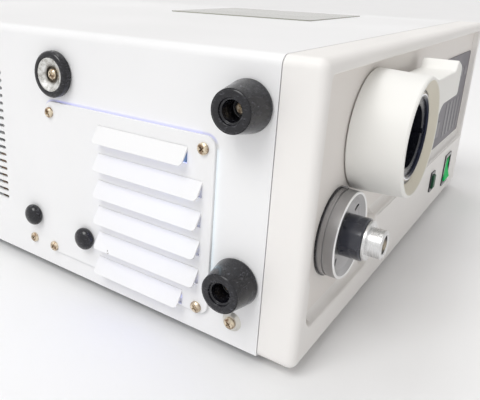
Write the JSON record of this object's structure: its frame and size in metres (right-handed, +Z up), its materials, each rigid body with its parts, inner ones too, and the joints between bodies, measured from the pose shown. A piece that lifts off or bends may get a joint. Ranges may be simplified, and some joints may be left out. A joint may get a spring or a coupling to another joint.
{
  "type": "fiber optic illuminator",
  "caption": "Box-shaped light source with a lever-lock light guide socket, louvred lamp side plate and rubber feet for resting on its base or side.",
  "frame": {"origin": "bottom centre of the whole, on the surface that the base feet stand on", "axes": "+X to the right of someone who faces the front, +Y from the front to the rear, +Z up"},
  "size_m": [0.3942, 0.4934, 0.1628],
  "materials": {
    "case_paint": "satin off-white powder coat",
    "bezel_paint": "satin warm white moulding",
    "panel_paint": "satin warm white paint",
    "zinc_sheet": "zinc-plated sheet",
    "rear_paint": "satin light grey paint",
    "smoked_plate": "greenish grey gloss plate",
    "gilt_screw": "yellow passivated",
    "nickel": "bright nickel plate",
    "chrome": "polished",
    "black_rubber": "smooth moulded rubber",
    "collar_plastic": "satin cream white moulding",
    "cup_metal": "grey anodised, turned",
    "black_plastic": "black moulded",
    "overlay_film": "dark grey printed film",
    "green_lens": "translucent green",
    "dark_green_key": "dark green",
    "black_aluminium": "black anodised",
    "optical_glass": "polished",
    "lamp_ceramic": "glazed ceramic with metal ends",
    "aluminium": "mill finish",
    "heat_insulator": "phenolic",
    "circuit_board": "solder mask",
    "board_parts": "mixed components"
  },
  "bodies": {
    "case": {"base_chassis": "zinc_sheet", "top_cover": "case_paint", "front_bezel": "bezel_paint", "front_panel": "panel_paint", "rear_panel": "rear_paint", "rear_brackets": "zinc_sheet", "top_plate": "smoked_plate", "lamp_access_plate": "case_paint", "access_plate_screws": "gilt_screw", "case_screws": "gilt_screw", "case_cup_washers": "nickel", "side_feet": "black_rubber", "ring_foot": "black_rubber", "ring_foot_washer": "nickel", "bumper_domes": "black_rubber", "base_feet": "black_rubber", "foot_screws": "gilt_screw", "socket_sleeve": "chrome", "retaining_ring": "black_plastic", "socket_core": "black_plastic", "light_guide_tube": "black_aluminium", "aux_gasket": "black_rubber", "aux_cup": "cup_metal", "aux_insulator": "black_plastic", "aux_barrel": "nickel", "aux_contact": "gilt_screw", "aux_nut": "nickel", "control_overlay": "overlay_film", "rocker_housing": "black_plastic", "button_housing": "black_plastic", "optics_bracket": "black_aluminium", "condenser_lens": "optical_glass", "heat_filter": "optical_glass", "attenuator_motor": "black_plastic", "lamp_body": "lamp_ceramic", "lamp_window": "optical_glass", "lamp_heat_sinks": "aluminium", "lamp_cradle": "heat_insulator", "lamp_duct": "zinc_sheet", "fan_frame": "black_plastic", "igniter_box": "heat_insulator", "power_board": "circuit_board", "power_parts": "board_parts", "board_standoffs": "nickel", "main_board": "circuit_board", "main_board_parts": "board_parts", "mains_inlet": "black_plastic", "inlet_pins": "nickel", "fuse_holders": "black_plastic", "earth_stud": "gilt_screw", "earth_nut": "gilt_screw", "signal_socket": "nickel"},
    "collar": {"lock_collar": "collar_plastic"},
    "rocker": {"power_rocker": "green_lens"},
    "button": {"push_button": "dark_green_key"},
    "fan": {"fan_rotor": "black_plastic"},
    "dimmer": {"attenuator_disc": "black_aluminium"},
    "shutter": {"safety_shutter": "black_aluminium"},
    "low_fuse": {"lower_fuse_cap": "black_plastic"},
    "high_fuse": {"upper_fuse_cap": "black_plastic"}
  },
  "joints": [
    {"name": "collar_turn", "type": "hinge", "parent": "case", "child": "collar", "pos_m": [-0.0996, -0.2323, 0.116], "axis": [0, 1, 0], "range_deg": [0, 60]},
    {"name": "rocker_tilt", "type": "hinge", "parent": "case", "child": "rocker", "pos_m": [0.1384, -0.2193, 0.033], "axis": [1, 0, 0], "range_deg": [0, 14]},
    {"name": "button_press", "type": "slide", "parent": "case", "child": "button", "axis": [0, 1, 0], "range_m": [0, 0.0015], "stiffness_N_per_m": 200, "springref_m": -0.002},
    {"name": "fan_spin", "type": "hinge", "parent": "case", "child": "fan", "pos_m": [-0.0406, -0.0953, 0.087], "axis": [1, 0, 0], "continuous": true},
    {"name": "dimmer_turn", "type": "hinge", "parent": "case", "child": "dimmer", "pos_m": [-0.0686, -0.1643, 0.077], "axis": [0, 1, 0], "range_deg": [0, 270]},
    {"name": "shutter_swing", "type": "hinge", "parent": "case", "child": "shutter", "pos_m": [-0.0786, -0.1813, 0.116], "axis": [0, 1, 0], "range_deg": [0, 50], "stiffness_Nm_per_rad": 0.002, "springref_deg": -17.19},
    {"name": "low_fuse_turn", "type": "hinge", "parent": "case", "child": "low_fuse", "pos_m": [0.0884, 0.2307, 0.036], "axis": [0, 1, 0], "range_deg": [0, 90]},
    {"name": "high_fuse_turn", "type": "hinge", "parent": "case", "child": "high_fuse", "pos_m": [0.0884, 0.2307, 0.062], "axis": [0, 1, 0], "range_deg": [0, 90]}
  ]
}
